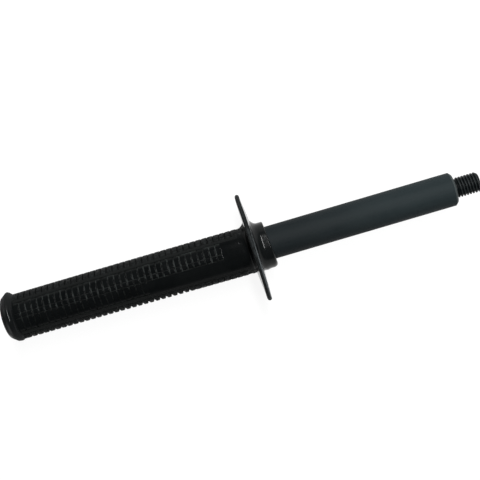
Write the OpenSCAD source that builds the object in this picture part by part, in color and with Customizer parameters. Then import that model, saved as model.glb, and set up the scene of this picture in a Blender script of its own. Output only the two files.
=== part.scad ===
// Side handle for a large power tool: a steel bar with a turned-down threaded stud,
// and a moulded grip sleeve with a guard, pushed on over the bar's other end.
// X runs along the handle towards the stud, and X = 0 is the shoulder that seats on the tool.

/* [Bar] */
// Diameter of the steel bar
bar_d = 20; // [18:0.5:21]
// Chamfer round the shoulder
shoulder_chamfer = 1.4; // [0.4:0.1:2]

/* [Stud] */
// Outside diameter of the thread
thread_d = 12; // [8:1:14]
// Length of the stud from the shoulder to its tip
stud_len = 15; // [12:0.5:40]
// Depth of the relief groove behind the thread
relief_depth = 0.8; // [0.3:0.05:1.2]
// Length of the relief groove
relief_len = 2; // [2:0.1:3]
// Chamfer on the tip of the stud
tip_chamfer = 1.3; // [0.5:0.1:2]

/* [Guard] */
// Distance from the shoulder to the middle of the guard
guard_from_shoulder = 122.5; // [60:0.5:220]
// Diameter of the guard
guard_d = 65.2; // [50:0.1:90]
// Thickness of the guard at its rim
guard_rim_t = 2.6; // [1.6:0.1:3]
// Thickness of the guard where it leaves the sleeve
guard_root_t = 4.2; // [3:0.1:6]

/* [Collar] */
// Diameter of the collar beside the guard
collar_d = 28; // [26.5:0.1:32]
// Diameter of the collar where its rounded lip begins
collar_mouth_d = 27.7; // [26:0.1:30]
// Distance from the guard's middle to the mouth of the collar
collar_len = 10.3; // [9:0.1:20]

/* [Grip] */
// Diameter over the blocks at the closed end
grip_d_end = 27.4; // [26:0.1:30]
// Diameter over the blocks at the guard
grip_d_guard = 28.1; // [26:0.1:30]
// Number of rings of blocks along the grip
ring_count = 38; // [10:1:45]
// Distance from one ring to the next
ring_pitch = 3.6; // [3:0.1:4.5]
// Gap between two rings
ring_gap = 0.9; // [0.6:0.1:1.4]
// Depth of the gaps between the blocks
groove_depth = 0.85; // [0.5:0.05:1.1]
// Rings left smooth at the guard, over the whole upper quarter
smooth_rings_quarter = 3; // [1:1:9]
// Rings left smooth at the guard, over the upper quarter's lower row
smooth_rings_row = 16; // [4:1:30]

/* [Closed end] */
// Diameter of the ridge round the closed end
bead_d = 29.9; // [29:0.1:34]
// Distance from the crest of the ridge to the end of the dome
dome_h = 5.9; // [5.7:0.1:8]
// Thickness of rubber between the bar and the dome
end_wall_t = 6; // [3:0.5:8]

/* [Hidden] */
$fn = 96;

bar_r = bar_d / 2;
thread_r = thread_d / 2;
relief_r = thread_r - relief_depth;

// Stations along X
guard_x = -guard_from_shoulder;
mouth_x = guard_x + collar_len;
neck_len = 7.3;
blocks_end_x = guard_x - neck_len;
blocks_start_x = blocks_end_x - ring_count * ring_pitch + ring_gap;
plain_band = 4.3;
bead_x = blocks_start_x - plain_band;
end_x = bead_x - dome_h;
bar_end_x = end_x + end_wall_t;

// Radii of the sleeve
bead_r = bead_d / 2;
band_r = grip_d_end / 2 - 0.05;
neck_r = grip_d_guard / 2 - 0.25;
collar_r = collar_d / 2;
collar_mouth_r = collar_mouth_d / 2;
guard_r = guard_d / 2;

// The gaps along the handle run out past the first and the last ring
gaps_start_x = blocks_start_x - 0.02;
gaps_end_x = blocks_end_x + 0.6;

// Draft on the flanks of the blocks, as a slope and as a length at the end rings
block_draft = 0.14;
block_lean = block_draft * groove_depth;

// Each quarter has a wide, a narrow and a wider row, between half a smooth strip on either side.
// These are angles: where the gaps between the rows are, from the quarter's middle, and widths.
row_gaps_at = [-10.6, 2];
row_gap = 2.6;
strip_half = 4.5;
strip_gap = 2.6;
strip_gap_at = 45 - strip_half - strip_gap / 2;

// Radius over the blocks at a station, which grows a little towards the guard
function block_r(x) = let (k = (x - blocks_start_x) / (blocks_end_x - blocks_start_x))
    (grip_d_end + k * (grip_d_guard - grip_d_end)) / 2;

// Points of an arc from angle a0 to a1, in (radius, station) coordinates
function arc(cr, cx, r, a0, a1, n) =
    [for (i = [0:n]) let (a = a0 + (a1 - a0) * i / n) [cr + r * cos(a), cx + r * sin(a)]];

// The closed end: a shallow dome, a rounded corner, and a ridge with a long flank to the corner
corner_r = 3;
corner_end = 75;
crest_r = 1.1;
flank_slope = 37;
flank_drop = 2.3;
back_r = 3.2;
back_turn = acos(1 - (bead_r - band_r) / back_r);
flank_run = (flank_drop - crest_r * (1 - cos(flank_slope))) / tan(flank_slope);
corner_at_r = bead_r - flank_drop - corner_r * cos(flank_slope);
corner_x = bead_x - flank_run + (corner_r - crest_r) * sin(flank_slope);
dome_reach = corner_at_r + corner_r * cos(corner_end);
dome_rise = corner_x - corner_r * sin(corner_end) - end_x;
dome_r = (dome_reach * dome_reach + dome_rise * dome_rise) / (2 * dome_rise);
dome_half = asin(dome_reach / dome_r);
function closed_end_outline() = concat(
    arc(0, end_x + dome_r, dome_r, -90, -90 + dome_half * 0.94, 8),
    arc(corner_at_r, corner_x, corner_r, -corner_end, -flank_slope, 4),
    arc(bead_r - crest_r, bead_x, crest_r, -flank_slope, 0, 3),
    arc(bead_r - back_r, bead_x, back_r, back_turn / 5, back_turn, 4),
    [[band_r, blocks_start_x]]);

// The guard and the collar: a tapered flange with a round rim, a short cone with a hollow flank
// on each side of its root, and a round mouth. The collar's cone is the longer of the two.
root_back = 1.9;
root_front = guard_root_t - root_back;
back_cone_r = 4.6;
back_cone_turn = 65;
back_cone_x = guard_x - root_back - back_cone_r * sin(back_cone_turn);
front_cone_r = 5.3;
front_cone_turn = 56;
front_cone_x = guard_x + root_front + front_cone_r * sin(front_cone_turn);
rim_r = guard_rim_t / 2;
lip_r = 1.5;
function guard_outline() = concat(
    [[neck_r, blocks_end_x]],
    arc(neck_r + back_cone_r, back_cone_x, back_cone_r, 180, 180 - back_cone_turn, 5),
    arc(guard_r - rim_r, guard_x, rim_r, -90, 90, 8),
    arc(collar_r + front_cone_r, front_cone_x, front_cone_r, front_cone_turn - 180, -180, 5),
    arc(collar_mouth_r - lip_r, mouth_x - lip_r, lip_r, 0, 90, 6));

module along_handle() { rotate([0, 90, 0]) children(); }

// A cut from the sleeve's surface down by sink, between two angles and two stations.
// 0 degrees is up, angles run towards -Y, and the two ends lean outwards by draft.
module cut(a0, a1, x0, x1, sink, draft = 0) {
    proud = 1;
    lean = draft * (sink + proud);
    rotate([0, 0, 180 + a0]) rotate_extrude(angle = a1 - a0)
        polygon([
            [block_r(x0) - sink, x0], [block_r(x0) + proud, x0 - lean],
            [block_r(x1) + proud, x1 + lean], [block_r(x1) - sink, x1]]);
}

module bar() {
    color([0.19, 0.22, 0.23]) along_handle() rotate_extrude()
        polygon([
            [0, bar_end_x],
            [bar_r - shoulder_chamfer, bar_end_x],
            [bar_r, bar_end_x + shoulder_chamfer],
            [bar_r, -shoulder_chamfer],
            [bar_r - shoulder_chamfer, 0],
            [relief_r, 0],
            [relief_r, relief_len],
            [thread_r, relief_len + relief_depth],
            [thread_r, stud_len - tip_chamfer],
            [thread_r - tip_chamfer, stud_len],
            [0, stud_len]]);
}

// The whole moulding as one turned form, before the gaps between the blocks
module plain_sleeve() {
    rotate_extrude()
        polygon(concat(
            closed_end_outline(),
            [[block_r(blocks_start_x), blocks_start_x + block_lean],
             [block_r(blocks_end_x), blocks_end_x - block_lean]],
            guard_outline(),
            [[bar_r, mouth_x], [bar_r, bar_end_x], [0, bar_end_x]]));
}

// The gaps between the rings, which stop at the smooth strips and at the smooth field
module ring_gaps() {
    for (i = [1:ring_count - 1]) {
        x = blocks_start_x + i * ring_pitch;
        left = ring_count - i;
        for (quarter = [0:3]) {
            upper = quarter == 0;
            if (!upper || left > smooth_rings_quarter)
                cut(quarter * 90 - strip_gap_at,
                    quarter * 90 + (upper && left <= smooth_rings_row ? row_gaps_at[1] : strip_gap_at),
                    x - ring_gap, x, groove_depth, block_draft);
        }
    }
}

// The gaps along the handle, on both sides of each quarter's narrow row and beside each strip
module lengthwise_gaps() {
    sink = groove_depth - 0.08;
    field_x = blocks_end_x - smooth_rings_quarter * ring_pitch;
    row_x = blocks_end_x - smooth_rings_row * ring_pitch;
    for (quarter = [0:3]) {
        upper = quarter == 0;
        for (at = row_gaps_at) {
            middle = quarter * 90 + at;
            cut(middle - row_gap / 2, middle + row_gap / 2,
                gaps_start_x, upper ? field_x : gaps_end_x, sink);
        }
        for (side = [-1, 1]) {
            edge = quarter * 90 + side * strip_gap_at;
            cut(edge - strip_gap / 2, edge + strip_gap / 2,
                gaps_start_x, upper ? (side > 0 ? row_x : field_x) : gaps_end_x, sink);
        }
    }
}

module grip_sleeve() {
    color([0.07, 0.08, 0.08]) along_handle() difference() {
        plain_sleeve();
        ring_gaps();
        lengthwise_gaps();
    }
}

bar();
grip_sleeve();
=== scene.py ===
import math

import bpy
import numpy as np
from mathutils import Matrix, Vector


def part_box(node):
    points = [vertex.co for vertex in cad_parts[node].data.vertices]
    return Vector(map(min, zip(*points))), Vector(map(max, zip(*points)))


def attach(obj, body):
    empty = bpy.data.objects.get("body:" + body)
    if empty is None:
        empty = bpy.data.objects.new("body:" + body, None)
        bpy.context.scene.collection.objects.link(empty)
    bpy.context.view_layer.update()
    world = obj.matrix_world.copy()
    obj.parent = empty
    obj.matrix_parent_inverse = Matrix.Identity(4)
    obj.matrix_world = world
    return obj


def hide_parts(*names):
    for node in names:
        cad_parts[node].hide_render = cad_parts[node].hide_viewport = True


# A power tool's side handle: a blackened steel bar with a threaded stud, and a black rubber
# grip sleeve with a guard. Lengths below are in millimetres unless a name says otherwise.
# X runs along the handle towards the stud, and angles go round it from straight up towards -Y.

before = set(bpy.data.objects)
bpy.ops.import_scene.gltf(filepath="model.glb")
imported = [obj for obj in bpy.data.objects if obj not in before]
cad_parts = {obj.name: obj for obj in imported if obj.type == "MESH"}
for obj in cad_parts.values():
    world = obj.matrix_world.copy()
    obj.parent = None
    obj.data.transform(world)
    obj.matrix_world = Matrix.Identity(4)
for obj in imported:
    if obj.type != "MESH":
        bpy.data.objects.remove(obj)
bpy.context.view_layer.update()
MM = 0.001

sleeve_low, sleeve_high = (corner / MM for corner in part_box("grip_sleeve"))
bar_low, bar_high = (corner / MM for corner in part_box("bar"))

# Stations along the handle
END_X = sleeve_low.x
MOUTH_X = sleeve_high.x
BAR_END_X = bar_low.x
TIP_X = bar_high.x
COLLAR_LEN = 10.3
GUARD_X = MOUTH_X - COLLAR_LEN
NECK_LEN = 7.3
BLOCKS_END_X = GUARD_X - NECK_LEN
RINGS = 38
RING_PITCH = 3.6
RING_GAP = 0.9
BLOCKS_START_X = BLOCKS_END_X - RINGS * RING_PITCH + RING_GAP
DOME_H = 5.9
BEAD_X = END_X + DOME_H
RIDGE_FLANK = 3.0

# Radii, with the collar's also at its mouth
BAR_R = bar_high.y
GUARD_R = sleeve_high.z
BEAD_R = 14.95
BAND_R = 13.65
BLOCK_R_END = 13.7
BLOCK_R_GUARD = 14.05
NECK_R = 13.8
COLLAR_R = 14.0
COLLAR_MOUTH_R = 14.0
THREAD_R = 6.0
RELIEF_R = 5.2

# The block pattern, in degrees from the middle of each quarter
ROW_GAPS_AT = (-10.6, 2.0)
ROW_GAP_HALF = 1.3
STRIP_GAP_FROM = 37.9
STRIP_GAP_TO = 40.5
BEVEL_WIDTH = 4.9
GAP_DEPTH = 0.85
ROW_GAP_DEPTH = 0.77
BEVEL_DROP = 0.5
STRIP_DROP = 0.14
FIELD_DROP = 0.05
PAD_ROLL = 2.0
PAD_STEP = 0.2
SMOOTH_RINGS_QUARTER = 3
SMOOTH_RINGS_ROW = 16
FIELD_X = BLOCKS_END_X - SMOOTH_RINGS_QUARTER * RING_PITCH
ROW_X = BLOCKS_END_X - SMOOTH_RINGS_ROW * RING_PITCH

# Wear of the gaps between the rings. Round WORN_SIDE they are notches with one slanted wall,
# which begin at the stations NOTCH_AT past a ring's start, up to the place where the wear
# changes. From there on, and round WORN_FLAT_SIDE, they are worn nearly flat.
WORN_SIDE = 91
WORN_FLAT_SIDE = 273
WEAR_CHANGES_FROM = -168
WEAR_CHANGES_TO = -160
NOTCH_DEPTH = 1.25
NOTCH_AT = (0, 0.7, 2.5, 2.6, 3.15, 3.6)
NOTCH_SHARE = (0.62, 0, 0, 1, 1, 0.62)

# The guard's rim, its root, and the cone on each side of the root
RIM_R = 1.3
ROOT_BACK = 1.9
ROOT_FRONT = 2.3
BACK_CONE_R = 4.6
BACK_CONE_TURN = 65
FRONT_CONE_R = 5.3
FRONT_CONE_TURN = 56

# The moulding isn't quite central on the bar: its closed end sits off towards +Y, and the rest
# bends away towards -Y, by SAG where the blocks end
CAP_RISE = 0.85
ROOT_RISE = 0.3
SAG = 0.6


def block_r(x):
    """Radius over the blocks at a station."""
    share = (x - BLOCKS_START_X) / (BLOCKS_END_X - BLOCKS_START_X)
    return BLOCK_R_END + share * (BLOCK_R_GUARD - BLOCK_R_END)


def smooth(low, high, value):
    """0 below low, 1 above high, and an even curve between them."""
    share = np.clip((value - low) / (high - low), 0, 1)
    return share * share * (3 - 2 * share)


def arc(centre_x, centre_r, radius, start, end, steps):
    """Points (station, radius) of an arc; 0 degrees points along the handle and 90 away from it."""
    angles = np.radians(np.linspace(start, end, steps + 1))
    return [(centre_x + radius * math.cos(a), centre_r + radius * math.sin(a)) for a in angles]


def mesh_piece(name, points, faces, materials, face_material=None, sharp_deg=38):
    """A mesh object from points in millimetres, with smooth faces that break at sharp edges."""
    mesh = bpy.data.meshes.new(name)
    mesh.from_pydata((np.asarray(points) * MM).tolist(), [], faces)
    mesh.polygons.foreach_set("use_smooth", [True] * len(mesh.polygons))
    for material in materials:
        mesh.materials.append(material)
    if face_material is not None:
        mesh.polygons.foreach_set("material_index", face_material)
    mesh.validate()
    mesh.set_sharp_from_angle(angle=math.radians(sharp_deg))
    piece = bpy.data.objects.new(name, mesh)
    bpy.context.scene.collection.objects.link(piece)
    return piece


def turned_faces(rows, columns, first_point):
    """Quads between neighbouring rings of points, wound so that they face outwards."""
    faces = []
    for i in range(rows - 1):
        near = first_point + i * columns
        far = near + columns
        for j in range(columns):
            after = (j + 1) % columns
            faces.append((near + j, near + after, far + after, far + j))
    return faces


def cap_faces(ring_start, columns, pole, outward):
    """Triangles from a ring of points to a single point that closes it."""
    faces = []
    for j in range(columns):
        a = ring_start + j
        b = ring_start + (j + 1) % columns
        faces.append((pole, b, a) if outward else (pole, a, b))
    return faces


# Grip sleeve

def quarter_angle(phi):
    """Degrees from the middle of the quarter that the angle phi lies in."""
    return (phi + 45) % 90 - 45


def sleeve_columns():
    """Angles of the sleeve's columns of points, close together at each gap's edges."""
    quarter = [-45.0, -42.7, -35.4, -33.0, -27.0, -21.5, -16.5, -4.3]
    quarter += [6.5, 11.5, 17.0, 22.5, 28.0, 33.0, 35.4, 42.7]
    gaps = [(at - ROW_GAP_HALF, at + ROW_GAP_HALF) for at in ROW_GAPS_AT]
    gaps += [(-STRIP_GAP_TO, -STRIP_GAP_FROM), (STRIP_GAP_FROM, STRIP_GAP_TO)]
    for low, high in gaps:
        quarter += [low - 0.5, low + 0.1, low + 0.55, high - 0.55, high - 0.1, high + 0.5]
    return np.array([turn + a for turn in (0, 90, 180, 270) for a in sorted(quarter)])


def edge_depth(distance, depth):
    """How deep a gap is at a distance inside its edge, with a rounded edge and a steep wall."""
    return depth * np.interp(distance, [-0.14, 0.0, 0.09, 0.17], [0.0, 0.06, 0.26, 1.0])


def ring_gap_depth(x, phi):
    """Depth of the gaps between the rings at a station, with their wear."""
    along = (x - BLOCKS_START_X) % RING_PITCH
    block_len = RING_PITCH - RING_GAP
    if along > block_len:
        inside = min(along - block_len, RING_PITCH - along)
    else:
        inside = max(-along, along - block_len)
    depth = edge_depth(inside, GAP_DEPTH)
    near_guard = smooth(WEAR_CHANGES_FROM, WEAR_CHANGES_TO, x)
    off_worn_side = np.abs(phi - WORN_SIDE)
    notched = (1 - near_guard) * (1 - smooth(25, 38, off_worn_side))
    notch = NOTCH_DEPTH * np.interp(along, NOTCH_AT, NOTCH_SHARE)
    depth = depth * (1 - notched) + notch * notched
    flat = 0.75 * near_guard * (1 - smooth(8, 14, off_worn_side))
    flat = np.maximum(flat, 0.7 * (1 - smooth(8, 15, np.abs(phi - WORN_FLAT_SIDE))))
    return depth * (1 - flat)


def relief(x, phi):
    """Depth below the block tops at a station, for every column's angle."""
    quarter = quarter_angle(phi)
    side = np.abs(quarter)
    upper = phi < 45
    to_mm = math.radians(1) * block_r(x)
    from_row_gap = np.minimum(*(np.abs(quarter - at) for at in ROW_GAPS_AT))
    row_gap = (ROW_GAP_HALF - from_row_gap) * to_mm
    strip_gap = np.minimum(side - STRIP_GAP_FROM, STRIP_GAP_TO - side) * to_mm
    between_strips = side < STRIP_GAP_TO
    in_field = upper & (x > FIELD_X - 0.01) & between_strips
    in_row = upper & (x > ROW_X - 0.01) & (quarter > ROW_GAPS_AT[1] + ROW_GAP_HALF) & between_strips
    depth = edge_depth(row_gap, ROW_GAP_DEPTH)
    depth = np.maximum(depth, edge_depth(strip_gap, ROW_GAP_DEPTH))
    bevel = BEVEL_DROP * np.clip((side - STRIP_GAP_FROM) / BEVEL_WIDTH + 1, 0, 1) ** 1.3
    blocks = np.maximum(depth, np.maximum(ring_gap_depth(x, phi), bevel))
    blocks = np.where(side > STRIP_GAP_TO, STRIP_DROP, blocks)
    return np.where(in_field | in_row, FIELD_DROP, blocks)


def pattern_stations():
    """Stations of the rings of blocks, close together at each gap's edges."""
    block_len = RING_PITCH - RING_GAP
    stations = []
    for i in range(RINGS):
        start = BLOCKS_START_X + i * RING_PITCH
        offsets = [0.0, 0.14, 0.35, 0.7, 1.35, 2.0, 2.35, block_len - 0.14, block_len]
        if i > 0:
            offsets.insert(0, -0.17)
        if i < RINGS - 1:
            offsets.append(block_len + 0.17)
        stations += [start + o for o in offsets]
    return stations


def closed_end_line():
    """The dome, its rounded corner, the ridge and the plain band, from the pole outwards."""
    corner_r = 3.0
    corner_end = 75
    crest_r = 1.1
    back_r = 3.2
    flank_slope = 37
    flank_drop = 2.3
    slope = math.radians(flank_slope)
    flank_run = (flank_drop - crest_r * (1 - math.cos(slope))) / math.tan(slope)
    corner_at_r = BEAD_R - flank_drop - corner_r * math.cos(slope)
    corner_x = BEAD_X - flank_run + (corner_r - crest_r) * math.sin(slope)
    reach = corner_at_r + corner_r * math.cos(math.radians(corner_end))
    rise = corner_x - corner_r * math.sin(math.radians(corner_end)) - END_X
    dome_r = (reach ** 2 + rise ** 2) / (2 * rise)
    half = math.degrees(math.asin(reach / dome_r))
    line = arc(END_X + dome_r, 0, dome_r, 180 - 0.06 * half, 180 - 0.96 * half, 10)
    line += arc(corner_x, corner_at_r, corner_r, 90 + corner_end, 90 + flank_slope, 6)
    line += [(BEAD_X - 0.5 * flank_run - crest_r * math.sin(slope),
              BEAD_R - 0.5 * (flank_drop + crest_r * (1 - math.cos(slope))))]
    line += arc(BEAD_X, BEAD_R - crest_r, crest_r, 90 + flank_slope, 90, 5)
    back_turn = math.degrees(math.acos(1 - (BEAD_R - BAND_R) / back_r))
    line += arc(BEAD_X, BEAD_R - back_r, back_r, 90 - back_turn / 8, 90 - back_turn, 7)
    foot_x = BEAD_X + back_r * math.sin(math.radians(back_turn))
    line += [(foot_x + 0.12, BAND_R)]
    line += [(BLOCKS_START_X - 0.9, BAND_R), (BLOCKS_START_X - 0.2, BAND_R)]
    return line


def straight(first, last, steps):
    """Points (station, radius) evenly spaced between two others, without those two."""
    shares = np.linspace(0, 1, steps + 1)[1:-1]
    return [tuple(np.asarray(first) * (1 - share) + np.asarray(last) * share) for share in shares]


def guard_line():
    """Neck, cone, tapered flange with a round rim, and the collar's cone."""
    start_x = GUARD_X - ROOT_BACK - BACK_CONE_R * math.sin(math.radians(BACK_CONE_TURN))
    end_x = GUARD_X + ROOT_FRONT + FRONT_CONE_R * math.sin(math.radians(FRONT_CONE_TURN))
    line = [(x, NECK_R) for x in np.arange(BLOCKS_END_X + 0.3, start_x - 0.1, 0.3)]
    line += arc(start_x, NECK_R + BACK_CONE_R, BACK_CONE_R, -90, BACK_CONE_TURN - 90, 14)
    front = arc(end_x, COLLAR_R + FRONT_CONE_R, FRONT_CONE_R, 270 - FRONT_CONE_TURN, 270, 14)
    rim_foot_r = GUARD_R - RIM_R
    line += straight(line[-1], (GUARD_X - RIM_R, rim_foot_r), 7)
    line += arc(GUARD_X, rim_foot_r, RIM_R, 174, 6, 10)
    line += straight((GUARD_X + RIM_R, rim_foot_r), front[0], 7)
    return line + front + [(end_x + 0.08, COLLAR_R), (MOUTH_X - 2.7, COLLAR_R)]


def cone_height(phi):
    """How high the cones beside the guard's root stand; they fade to a low step towards -Y."""
    return 0.5 + 2.3 * smooth(15, 60, np.abs(phi - 90))


def mouth_rings(phi):
    """Rings of the collar's lip, which is nearly sharp towards +Y and well rounded towards -Y."""
    lip_r = 0.7 + 1.9 * np.clip(np.sin(np.radians(phi)), 0, 1) ** 2
    rings = [(MOUTH_X - lip_r - 0.06, np.full(len(phi), COLLAR_MOUTH_R))]
    for turn in np.radians(np.linspace(90, 0, 10)):
        rings.append((MOUTH_X - lip_r * (1 - math.cos(turn)),
                      COLLAR_MOUTH_R - lip_r * (1 - math.sin(turn))))
    return rings


def pad_edge_x(phi):
    """Station where the smooth field ends in a raised edge that arches towards the guard."""
    off = np.where(phi > 180, phi - 360, phi) - 9.0
    inside = np.clip(1 - (off / 42.0) ** 2, 0, 1)
    return BLOCKS_END_X + 0.4 + 4.6 * np.sqrt(inside)


def off_axis(x, r):
    """How far a point of the outside is moved towards +Y; the guard's rim stays central."""
    share = np.clip((x - BLOCKS_START_X) / (BLOCKS_END_X - BLOCKS_START_X), 0, 1)
    cap = CAP_RISE * (1 - smooth(BEAD_X, BEAD_X + 2.6, x))
    beyond_root = smooth(GUARD_X + ROOT_FRONT, GUARD_X + 5, x)
    root = ROOT_RISE * smooth(BLOCKS_END_X + 1, GUARD_X - ROOT_BACK, x) * (1 - beyond_root)
    return (cap + root - SAG * share ** 2) * (1 - smooth(16, 24, r))


def lean(x, y, r, up):
    """Shift along the handle: the guard and the mouth sit slightly out of square.

    The flange leans more than its root does, and its topmost part bows towards the stud.
    """
    neck_share = smooth(GUARD_X - 22, GUARD_X, x)
    flange_share = smooth(15.5, 28, r)
    mouth_share = smooth(GUARD_X + 2, MOUTH_X, x)
    degrees = 0.6 * neck_share + 1.1 * flange_share + 4.6 * mouth_share
    return 0.6 * flange_share * smooth(0.35, 0.95, up) - y * np.tan(np.radians(degrees))


def build_sleeve(materials):
    """The whole moulding as one closed mesh, outside, mouth, bore and closed end."""
    phi = sleeve_columns()
    columns = len(phi)
    turn = np.radians(phi)
    down, up = -np.sin(turn), np.cos(turn)
    rings = []
    for x, r in closed_end_line():
        rings.append((np.full(columns, x), np.full(columns, r)))
    for x in pattern_stations():
        rings.append((np.full(columns, x), block_r(x) - relief(x, phi)))
    pad_x = pad_edge_x(phi)
    upper = np.abs(phi) < STRIP_GAP_TO + 1
    for x, r in guard_line():
        radius = np.full(columns, r)
        if x < GUARD_X - 1:
            roll = np.clip((x - pad_x) / PAD_ROLL + 1, 0, 1) ** 2
            pad_r = block_r(BLOCKS_END_X) - FIELD_DROP - PAD_STEP * roll
            on_pad = upper & (x < pad_x + 0.15)
            radius = np.where(on_pad, np.maximum(radius, pad_r), radius)
        if x < GUARD_X - ROOT_BACK - 0.01:
            radius = np.minimum(radius, NECK_R + cone_height(phi))
        if x > GUARD_X + ROOT_FRONT + 0.01:
            radius = np.minimum(radius, COLLAR_R + cone_height(phi))
        rings.append((np.full(columns, x), radius))
    rings += mouth_rings(phi)
    outside_rings = len(rings)
    bore = [(MOUTH_X, BAR_R + 0.9), (MOUTH_X - 0.4, BAR_R + 0.15), (MOUTH_X - 1.0, BAR_R)]
    bore += [(x, BAR_R) for x in np.linspace(MOUTH_X - 8, BAR_END_X, 20)]
    for x, r in bore:
        rings.append((np.full(columns, x), np.full(columns, r)))
    points = []
    for i, (x, r) in enumerate(rings):
        shift = off_axis(x, r) if i < outside_rings else 0
        y = r * down + shift
        points.append(np.stack([x + lean(x, y, r, up), y, r * up], 1))
    points = np.concatenate(points)
    stations = np.array([x[0] for x, r in rings[:-1]])
    on_ridge = (stations > BEAD_X - RIDGE_FLANK) & (stations < BLOCKS_START_X - 1)
    polished = on_ridge | (stations > GUARD_X - ROOT_BACK - 0.1)
    finish = np.repeat(polished.astype(int), columns).tolist() + [0] * (2 * columns)
    faces = turned_faces(len(rings), columns, 0)
    faces += cap_faces(0, columns, len(points), True)
    faces += cap_faces((len(rings) - 1) * columns, columns, len(points) + 1, False)
    points = np.concatenate([points, [[END_X, 0, 0], [BAR_END_X, 0, 0]]])
    return mesh_piece("grip_sleeve_moulding", points, faces, materials, finish)


# Bar

def thread_radius(x, turn):
    """Radius of a right-hand thread at a station, for each angle, with its run-outs."""
    pitch = 1.75
    depth = 0.95
    crest_at = 3.06
    crest_half = 0.26
    root_half = 0.12
    phase = ((x - crest_at) / pitch - turn / (2 * math.pi)) % 1.0
    from_crest = np.abs((phase + 0.5) % 1.0 - 0.5) * pitch
    cut = depth * np.clip((from_crest - crest_half) / (0.5 * pitch - crest_half - root_half), 0, 1)
    begin = smooth(1.1, 1.9, x)
    return RELIEF_R + (THREAD_R - cut - RELIEF_R) * begin


def bar_line():
    """Stations and radii of the bar up to the relief groove behind the thread."""
    chamfer = 1.4
    line = [(BAR_END_X, BAR_R - chamfer), (BAR_END_X + chamfer, BAR_R)]
    line += [(x, BAR_R) for x in np.linspace(BAR_END_X + 10, -chamfer - 0.5, 30)]
    line += [(-chamfer - 0.15, BAR_R), (-chamfer, BAR_R - 0.05)]
    line += [(-0.12, BAR_R - chamfer + 0.06), (0.0, BAR_R - chamfer - 0.1)]
    line += [(0.0, BAR_R - chamfer - 1.2), (0.0, 5.8), (0.1, 5.4), (0.35, RELIEF_R)]
    return line


def build_bar(materials):
    """Bar and stud as one closed turned form, with a cut thread."""
    columns = 96
    turn = np.linspace(0, 2 * math.pi, columns, endpoint=False)
    down, up = -np.sin(turn), np.cos(turn)
    rings = [(x, np.full(columns, r)) for x, r in bar_line()]
    body_rings = len(rings)
    tip_chamfer = 1.3
    for x in np.arange(0.7, TIP_X - 0.05, 0.0625):
        nose = THREAD_R - np.clip(x - (TIP_X - tip_chamfer), 0, tip_chamfer)
        rings.append((x, np.minimum(thread_radius(x, turn), nose)))
    rings.append((TIP_X - 0.06, np.full(columns, THREAD_R - tip_chamfer)))
    rings.append((TIP_X, np.full(columns, THREAD_R - tip_chamfer - 0.25)))
    points = [np.stack([np.full(columns, x), r * down, r * up], 1) for x, r in rings]
    points = np.concatenate(points)
    faces = turned_faces(len(rings), columns, 0)
    finish = [0 if face[2] < body_rings * columns else 1 for face in faces]
    faces += cap_faces(0, columns, len(points), True)
    faces += cap_faces((len(rings) - 1) * columns, columns, len(points) + 1, False)
    finish += [0] * columns + [1] * columns
    points = np.concatenate([points, [[BAR_END_X, 0, 0], [TIP_X, 0, 0]]])
    return mesh_piece("bar_with_stud", points, faces, materials, finish, sharp_deg=32)


# Shared surface effects

def new_group(name, inputs, outputs):
    """An empty node group with named float inputs (name, default) and named outputs."""
    group = bpy.data.node_groups.new(name, "ShaderNodeTree")
    for label, default in inputs:
        socket = group.interface.new_socket(label, in_out="INPUT", socket_type="NodeSocketFloat")
        socket.default_value = default
    for label in outputs:
        group.interface.new_socket(label, in_out="OUTPUT", socket_type="NodeSocketFloat")
    return group, group.nodes.new("NodeGroupInput"), group.nodes.new("NodeGroupOutput")


def maths(tree, operation, a, b=None):
    """A Math node; each operand is a socket or a number."""
    node = tree.nodes.new("ShaderNodeMath")
    node.operation = operation
    for socket, value in zip(node.inputs, (a, b)):
        if isinstance(value, bpy.types.NodeSocket):
            tree.links.new(value, socket)
        elif value is not None:
            socket.default_value = value
    return node.outputs[0]


def ramp_between(tree, value, low, high, to_low=0.0, to_high=1.0):
    """A smooth Map Range of a value; low and high may be sockets."""
    node = tree.nodes.new("ShaderNodeMapRange")
    node.interpolation_type = "SMOOTHSTEP"
    for label, source in (("Value", value), ("From Min", low), ("From Max", high),
                          ("To Min", to_low), ("To Max", to_high)):
        if isinstance(source, bpy.types.NodeSocket):
            tree.links.new(source, node.inputs[label])
        else:
            node.inputs[label].default_value = source
    return node.outputs["Result"]


def noise(tree, vector, scale, detail=3.0, roughness=0.55):
    """A noise value over a vector socket; scale is in cycles a metre, or a socket."""
    node = tree.nodes.new("ShaderNodeTexNoise")
    tree.links.new(vector, node.inputs["Vector"])
    if isinstance(scale, bpy.types.NodeSocket):
        tree.links.new(scale, node.inputs["Scale"])
    else:
        node.inputs["Scale"].default_value = scale
    node.inputs["Detail"].default_value = detail
    node.inputs["Roughness"].default_value = roughness
    return node.outputs["Fac"]


def stretched(tree, factors):
    """The object's own coordinates, each multiplied by a factor."""
    where = tree.nodes.new("ShaderNodeTexCoord")
    scale = tree.nodes.new("ShaderNodeVectorMath")
    scale.operation = "MULTIPLY"
    tree.links.new(where.outputs["Object"], scale.inputs[0])
    scale.inputs[1].default_value = factors
    return scale.outputs[0]


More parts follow.
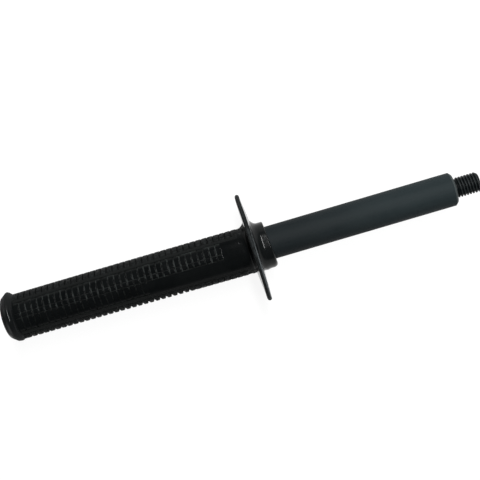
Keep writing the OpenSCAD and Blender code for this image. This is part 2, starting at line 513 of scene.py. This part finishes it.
def handle_place_group():
    """Station X, distance from the axis and sideways place, in millimetres.

    Sag is how far the axis has bent away towards -Y where the blocks end.
    """
    group, given, out = new_group(
        "handle_place", [("Sag", 0.0)], ["Station", "Radius", "Sideways"])
    where = group.nodes.new("ShaderNodeTexCoord")
    scale = group.nodes.new("ShaderNodeVectorMath")
    scale.operation = "SCALE"
    group.links.new(where.outputs["Object"], scale.inputs[0])
    scale.inputs["Scale"].default_value = 1 / MM
    split = group.nodes.new("ShaderNodeSeparateXYZ")
    group.links.new(scale.outputs[0], split.inputs[0])
    along = group.nodes.new("ShaderNodeMapRange")
    group.links.new(split.outputs["X"], along.inputs["Value"])
    along.inputs["From Min"].default_value = BLOCKS_START_X
    along.inputs["From Max"].default_value = BLOCKS_END_X
    share = maths(group, "POWER", along.outputs["Result"], 2.0)
    sag = maths(group, "MULTIPLY", share, given.outputs["Sag"])
    sideways = maths(group, "ADD", split.outputs["Y"], sag)
    across = maths(group, "MULTIPLY", sideways, sideways)
    height = maths(group, "MULTIPLY", split.outputs["Z"], split.outputs["Z"])
    radius = maths(group, "SQRT", maths(group, "ADD", across, height))
    group.links.new(split.outputs["X"], out.inputs["Station"])
    group.links.new(radius, out.inputs["Radius"])
    group.links.new(sideways, out.inputs["Sideways"])
    return group


def fine_grain_group():
    """Grain of a moulded or blasted surface: a height and a patchy value round 0.5."""
    group, given, out = new_group(
        "fine_grain", [("Grain Scale", 1500.0), ("Patch Scale", 60.0)], ["Height", "Patches"])
    where = stretched(group, (1, 1, 1))
    group.links.new(noise(group, where, given.outputs["Grain Scale"], 2.0, 0.6), out.inputs["Height"])
    group.links.new(noise(group, where, given.outputs["Patch Scale"], 4.0, 0.6), out.inputs["Patches"])
    return group


def wear_and_sheen_group():
    """Mask of places worn by use, and of painted sheen and highlights, broken up by noise, from a value
    that says how exposed they are.
    """
    group, given, out = new_group(
        "wear_and_sheen", [("Exposed", 0.0), ("Amount", 0.5), ("Break Scale", 300.0)], ["Mask"])
    where = stretched(group, (1, 1, 1))
    breaks = noise(group, where, given.outputs["Break Scale"], 4.0, 0.65)
    lifted = maths(group, "ADD", given.outputs["Exposed"], maths(group, "SUBTRACT", breaks, 0.5))
    limit = maths(group, "SUBTRACT", 1.0, given.outputs["Amount"])
    over = maths(group, "ADD", limit, 0.25)
    group.links.new(ramp_between(group, lifted, limit, over), out.inputs["Mask"])
    return group


def place_group(tree, group, **values):
    """A node of a group, with its inputs set by name to sockets or numbers."""
    node = tree.nodes.new("ShaderNodeGroup")
    node.node_tree = group
    for label, value in values.items():
        socket = node.inputs[label.replace("_", " ")]
        if isinstance(value, bpy.types.NodeSocket):
            tree.links.new(value, socket)
        else:
            socket.default_value = value
    return node


def blend_colours(tree, mask, first, second):
    """Colour first where the mask is 0 and second where it is 1; each is a socket or a colour."""
    node = tree.nodes.new("ShaderNodeMix")
    node.data_type = "RGBA"
    tree.links.new(mask, node.inputs["Factor"])
    for socket, colour in ((node.inputs[6], first), (node.inputs[7], second)):
        if isinstance(colour, bpy.types.NodeSocket):
            tree.links.new(colour, socket)
        else:
            socket.default_value = (*colour, 1)
    return node.outputs[2]


def new_finish(name):
    """A material with its Principled shader ready for links."""
    material = bpy.data.materials.new(name)
    material.use_nodes = True
    return material, material.node_tree, material.node_tree.nodes["Principled BSDF"]


def bump(tree, shader, height, strength, distance_m, before=None):
    """Feeds the shader's Normal from a height; before is an earlier bump's normal."""
    node = tree.nodes.new("ShaderNodeBump")
    node.inputs["Strength"].default_value = strength
    node.inputs["Distance"].default_value = distance_m
    tree.links.new(height, node.inputs["Height"])
    if before is not None:
        tree.links.new(before, node.inputs["Normal"])
    tree.links.new(node.outputs["Normal"], shader.inputs["Normal"])
    return node.outputs["Normal"]


# Materials

def black_rubber(place, grain):
    """The gripping surface and the dome: burnished dark block tops, dull sides, gap bottoms painted
    darker as shade, and pale dust in the gaps that is also painted sheen, lighter towards +Y where the
    lamp stands.
    """
    material, tree, shader = new_finish("black_rubber")
    here = place_group(tree, place, Sag=SAG)
    texture = place_group(tree, grain, Grain_Scale=2600.0, Patch_Scale=70.0)
    station = here.outputs["Station"]
    top_r = ramp_between(tree, station, BLOCKS_START_X, BLOCKS_END_X, BLOCK_R_END, BLOCK_R_GUARD)
    depth = maths(tree, "SUBTRACT", top_r, here.outputs["Radius"])
    on_grip = maths(
        tree, "MULTIPLY",
        ramp_between(tree, station, BLOCKS_START_X - 0.6, BLOCKS_START_X),
        ramp_between(tree, station, BLOCKS_END_X, BLOCKS_END_X + 0.4, 1.0, 0.0))
    hollow = maths(tree, "MULTIPLY", ramp_between(tree, depth, 0.3, 0.7), on_grip)
    dull = maths(tree, "MULTIPLY", ramp_between(tree, depth, 0.08, 0.13), on_grip)
    patchy = ramp_between(tree, texture.outputs["Patches"], 0.35, 0.7)
    body = blend_colours(tree, patchy, (0.0034, 0.0040, 0.0042), (0.0052, 0.0060, 0.0062))
    dulled = blend_colours(tree, dull, body, (0.0080, 0.0090, 0.0088))
    sideways = maths(tree, "ABSOLUTE", here.outputs["Sideways"])
    everywhere = stretched(tree, (1, 1, 1))
    specks = noise(tree, everywhere, 620.0, 3.0, 0.6)
    mottled = maths(tree, "MULTIPLY", ramp_between(tree, specks, 0.42, 0.66),
                    ramp_between(tree, sideways, 9.5, 11.0))
    speckled = blend_colours(tree, mottled, dulled, (0.0180, 0.0200, 0.0200))
    facing = maths(tree, "MULTIPLY", hollow, ramp_between(tree, sideways, 9.2, 9.9, 1.0, 0.0))
    # Painted shade: the bottoms of the gaps are painted darker than the block tops.
    gap_painted_shade = blend_colours(tree, hollow, speckled, (0.0030, 0.0034, 0.0034))
    clumps = noise(tree, everywhere, 330.0, 2.0, 0.6)
    clumped = maths(tree, "MULTIPLY", facing, ramp_between(tree, clumps, 0.42, 0.62, 0.15, 1.0))
    # Dust and painted sheen: the gaps are painted paler, strongest towards +Y on the lamp's side and left
    # out on the sides, for the lit walls of the gaps as well as dust.
    dust_and_sheen = maths(tree, "MULTIPLY", clumped,
                  ramp_between(tree, here.outputs["Sideways"], -2.6, 0.2, 0.3, 1.0))
    colour = blend_colours(tree, dust_and_sheen, gap_painted_shade, (0.030, 0.034, 0.033))
    tree.links.new(colour, shader.inputs["Base Color"])
    burnish = ramp_between(tree, texture.outputs["Patches"], 0.3, 0.75, 0.11, 0.17)
    side = maths(tree, "MULTIPLY", ramp_between(tree, sideways, 9.5, 12.0, 0.0, 0.5),
                 ramp_between(tree, specks, 0.40, 0.60, 0.5, 1.4))
    rough = maths(tree, "ADD", burnish, maths(tree, "MAXIMUM", maths(tree, "MULTIPLY", dull, 0.38), side))
    tree.links.new(rough, shader.inputs["Roughness"])
    shader.inputs["Specular IOR Level"].default_value = 0.04
    bump(tree, shader, texture.outputs["Height"], 0.15, 0.00004)
    return material


def polished_rubber(place, grain, wear_and_sheen):
    """The ridge round the closed end, the guard and the collar, with a soft shine, scuffs on the rim and
    a painted pale reflection on the flange's front face.
    """
    material, tree, shader = new_finish("polished_rubber")
    here = place_group(tree, place)
    texture = place_group(tree, grain, Grain_Scale=2600.0, Patch_Scale=70.0)
    patchy = ramp_between(tree, texture.outputs["Patches"], 0.35, 0.7)
    body = blend_colours(tree, patchy, (0.0050, 0.0058, 0.0060), (0.0075, 0.0086, 0.0088))
    exposed = ramp_between(tree, here.outputs["Radius"], GUARD_R - 1.2, GUARD_R)
    scuffs = place_group(tree, wear_and_sheen, Exposed=exposed, Amount=0.12, Break_Scale=420.0)
    scuffed = blend_colours(tree, scuffs.outputs["Mask"], body, (0.020, 0.023, 0.024))
    # Painted reflection: the flange's front face towards +X is painted pale where it would mirror the
    # white floor at a grazing angle, broken up by noise.
    front = maths(tree, "MULTIPLY",
                  ramp_between(tree, here.outputs["Radius"], GUARD_R - 6.0, GUARD_R - 3.0),
                  ramp_between(tree, here.outputs["Station"], GUARD_X + 1.2, GUARD_X + 1.6))
    painted_sheen_front = place_group(tree, wear_and_sheen, Exposed=front, Amount=0.45, Break_Scale=700.0)
    colour = blend_colours(tree, painted_sheen_front.outputs["Mask"], scuffed, (0.085, 0.094, 0.098))
    tree.links.new(colour, shader.inputs["Base Color"])
    burnish = ramp_between(tree, texture.outputs["Patches"], 0.3, 0.75, 0.12, 0.17)
    rim = ramp_between(tree, here.outputs["Radius"], GUARD_R - 1.3, GUARD_R - 0.8)
    sideways = maths(tree, "ABSOLUTE", here.outputs["Sideways"])
    closed_end = ramp_between(tree, here.outputs["Station"], BLOCKS_START_X, BLOCKS_START_X + 1, 0.8, 0.0)
    end_side = maths(tree, "MULTIPLY", ramp_between(tree, sideways, 3.0, 10.0), closed_end)
    dull = maths(tree, "MAXIMUM", rim, end_side)
    rough = maths(tree, "ADD", burnish, maths(tree, "MULTIPLY", dull, 0.65))
    tree.links.new(rough, shader.inputs["Roughness"])
    shader.inputs["Specular IOR Level"].default_value = 0.12
    bump(tree, shader, texture.outputs["Height"], 0.15, 0.00004)
    return material


def blackened_steel(place, grain, wear_and_sheen):
    """Drawn bar with a dull slate-black finish: faint lengthwise mottling, a colour painted lighter
    towards the stud as painted sheen, and a pale shoulder chamfer that is partly worn and partly painted
    highlight.
    """
    material, tree, shader = new_finish("blackened_steel")
    here = place_group(tree, place)
    texture = place_group(tree, grain, Grain_Scale=2200.0, Patch_Scale=45.0)
    drawn = noise(tree, stretched(tree, (0.12, 1, 1)), 420.0, 3.0, 0.6)
    mottled = maths(tree, "ADD", maths(tree, "MULTIPLY", texture.outputs["Patches"], 0.65),
                    maths(tree, "MULTIPLY", drawn, 0.35))
    tone = ramp_between(tree, mottled, 0.34, 0.66)
    station = here.outputs["Station"]
    # Painted light: the bar's colour is painted lighter towards the stud, standing in for the sheen that
    # grows towards the lamp's reflection beyond the stud.
    near_collar = blend_colours(tree, tone, (0.0112, 0.0148, 0.0164), (0.0148, 0.0188, 0.0202))
    near_stud = blend_colours(tree, tone, (0.0185, 0.0260, 0.0282), (0.0235, 0.0320, 0.0343))
    painted_sheen_share = ramp_between(tree, station, -105.0, -15.0)
    body = blend_colours(tree, painted_sheen_share, near_collar, near_stud)
    # Partly wear, partly painted highlight: the shoulder's chamfer is painted pale, also for the light it
    # catches from the lamp's side.
    chamfer = maths(tree, "MULTIPLY",
                    ramp_between(tree, station, -1.75, -1.2),
                    ramp_between(tree, here.outputs["Radius"], BAR_R - 2.2, BAR_R - 1.6))
    wear_and_highlight = place_group(tree, wear_and_sheen, Exposed=chamfer, Amount=0.32, Break_Scale=600.0)
    colour = blend_colours(tree, wear_and_highlight.outputs["Mask"], body, (0.060, 0.070, 0.071))
    tree.links.new(colour, shader.inputs["Base Color"])
    shader.inputs["Specular IOR Level"].default_value = 0.05
    rough = ramp_between(tree, mottled, 0.3, 0.7, 0.48, 0.6)
    tree.links.new(rough, shader.inputs["Roughness"])
    first = bump(tree, shader, texture.outputs["Height"], 0.3, 0.00004)
    bump(tree, shader, drawn, 0.15, 0.00005, before=first)
    return material


def oiled_thread(place, grain, wear_and_sheen):
    """The cut thread: darker and oily, with pale crests that are partly wear and partly painted
    highlight.
    """
    material, tree, shader = new_finish("oiled_thread")
    here = place_group(tree, place)
    texture = place_group(tree, grain, Grain_Scale=3000.0, Patch_Scale=260.0)
    tone = ramp_between(tree, texture.outputs["Patches"], 0.35, 0.65)
    body = blend_colours(tree, tone, (0.0035, 0.0048, 0.0054), (0.0080, 0.0100, 0.0108))
    # Painted highlight: the crests are painted paler, partly as wear and partly for the glints they
    # catch.
    crest = ramp_between(tree, here.outputs["Radius"], THREAD_R - 0.35, THREAD_R - 0.02)
    wear_and_highlight = place_group(tree, wear_and_sheen, Exposed=crest, Amount=0.45, Break_Scale=500.0)
    colour = blend_colours(tree, wear_and_highlight.outputs["Mask"], body, (0.0195, 0.0235, 0.0240))
    tree.links.new(colour, shader.inputs["Base Color"])
    shader.inputs["Specular IOR Level"].default_value = 0.07
    tree.links.new(ramp_between(tree, tone, 0.0, 1.0, 0.3, 0.45), shader.inputs["Roughness"])
    bump(tree, shader, texture.outputs["Height"], 0.3, 0.00004)
    return material


# Floor, light and camera

FLOOR_Z = -GUARD_R
FLOOR_HALF_M = 12.0


def build_floor():
    """A white table just under the guard; far off it turns into the white background."""
    corners = [(-FLOOR_HALF_M, -FLOOR_HALF_M), (FLOOR_HALF_M, -FLOOR_HALF_M),
               (FLOOR_HALF_M, FLOOR_HALF_M), (-FLOOR_HALF_M, FLOOR_HALF_M)]
    mesh = bpy.data.meshes.new("table")
    mesh.from_pydata([(x, y, FLOOR_Z * MM) for x, y in corners], [], [(0, 1, 2, 3)])
    floor = bpy.data.objects.new("table", mesh)
    bpy.context.scene.collection.objects.link(floor)
    material, tree, shader = new_finish("table_white")
    shader.inputs["Base Color"].default_value = (0.17, 0.17, 0.17, 1)
    shader.inputs["Roughness"].default_value = 0.9
    shader.inputs["Specular IOR Level"].default_value = 0.0
    where = tree.nodes.new("ShaderNodeTexCoord")
    reach = tree.nodes.new("ShaderNodeVectorMath")
    reach.operation = "LENGTH"
    tree.links.new(where.outputs["Object"], reach.inputs[0])
    glow = ramp_between(tree, reach.outputs["Value"], 0.35, 1.4, 0.9, 1.0)
    path = tree.nodes.new("ShaderNodeLightPath")
    seen = maths(tree, "MAXIMUM", path.outputs["Is Camera Ray"], path.outputs["Is Glossy Ray"])
    seen = maths(tree, "MAXIMUM", seen, path.outputs["Is Transmission Ray"])
    shader.inputs["Emission Color"].default_value = (1, 1, 1, 1)
    tree.links.new(maths(tree, "MULTIPLY", glow, seen), shader.inputs["Emission Strength"])
    mesh.materials.append(material)


def light_studio():
    """White surroundings near the horizon, dimmer towards -X and overhead, and one strip lamp."""
    world = bpy.data.worlds.new("studio")
    bpy.context.scene.world = world
    world.use_nodes = True
    tree = world.node_tree
    sky = tree.nodes["Background"]
    where = tree.nodes.new("ShaderNodeTexCoord")
    split = tree.nodes.new("ShaderNodeSeparateXYZ")
    tree.links.new(where.outputs["Generated"], split.inputs[0])
    bright = ramp_between(tree, split.outputs["Z"], 0.10, 0.42, 1.0, 0.045)
    level = maths(tree, "MULTIPLY", bright, ramp_between(tree, split.outputs["X"], -0.9, -0.4, 0.3, 1.0))
    sky.inputs["Color"].default_value = (1, 1, 1, 1)
    tree.links.new(level, sky.inputs["Strength"])
    lamp_data = bpy.data.lights.new("softbox", "AREA")
    lamp_data.shape = "RECTANGLE"
    lamp_data.size = 0.10
    lamp_data.size_y = 1.6
    lamp_data.energy = 24.0
    lamp = bpy.data.objects.new("softbox", lamp_data)
    bpy.context.scene.collection.objects.link(lamp)
    lamp.location = (0.05, 0.46, 1.2)
    aimed_at = Vector((-0.1, 0, 0))
    back = (lamp.location - aimed_at).normalized()
    across = Vector((0, 1, 0)).cross(back).normalized()
    lamp.matrix_world = (Matrix.Translation(lamp.location)
                         @ Matrix((across, back.cross(across), back)).transposed().to_4x4())


def place_camera():
    """The photograph's view: almost straight down, with the handle rising to the right."""
    distance_m = 0.6277
    foot_x_m = -0.114
    tilt = math.radians(2.75)
    yaw = math.radians(1.33)
    pitch = math.radians(0.56)
    roll = math.radians(16.39)
    along = Vector((1, 0, 0))
    away = -Vector((0, math.sin(tilt), math.cos(tilt)))
    above = Vector((0, math.cos(tilt), -math.sin(tilt)))
    right = math.cos(yaw) * along + math.sin(yaw) * away
    ahead = -math.sin(yaw) * along + math.cos(yaw) * away
    forward = math.cos(pitch) * ahead + math.sin(pitch) * above
    lifted = -math.sin(pitch) * ahead + math.cos(pitch) * above
    image_right = math.cos(roll) * right - math.sin(roll) * lifted
    image_up = math.sin(roll) * right + math.cos(roll) * lifted
    data = bpy.data.cameras.new("camera")
    data.lens = 80
    data.sensor_width = 36
    half_pixel = 0.5 / 480
    data.shift_x = -half_pixel
    data.shift_y = half_pixel
    camera = bpy.data.objects.new("camera", data)
    bpy.context.scene.collection.objects.link(camera)
    turn = Matrix((image_right, image_up, -forward)).transposed()
    camera.matrix_world = Matrix.Translation(foot_x_m * along - distance_m * away) @ turn.to_4x4()
    bpy.context.scene.camera = camera


place_camera()
light_studio()
build_floor()

handle_place = handle_place_group()
fine_grain = fine_grain_group()
wear_and_sheen_places = wear_and_sheen_group()
rubber = black_rubber(handle_place, fine_grain)
smooth_rubber = polished_rubber(handle_place, fine_grain, wear_and_sheen_places)
steel = blackened_steel(handle_place, fine_grain, wear_and_sheen_places)
thread = oiled_thread(handle_place, fine_grain, wear_and_sheen_places)

sleeve = build_sleeve([rubber, smooth_rubber])
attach(sleeve, "root")
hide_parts("grip_sleeve")

bar = build_bar([steel, thread])
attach(bar, "root")
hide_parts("bar")

bpy.context.scene.view_settings.view_transform = "Standard"
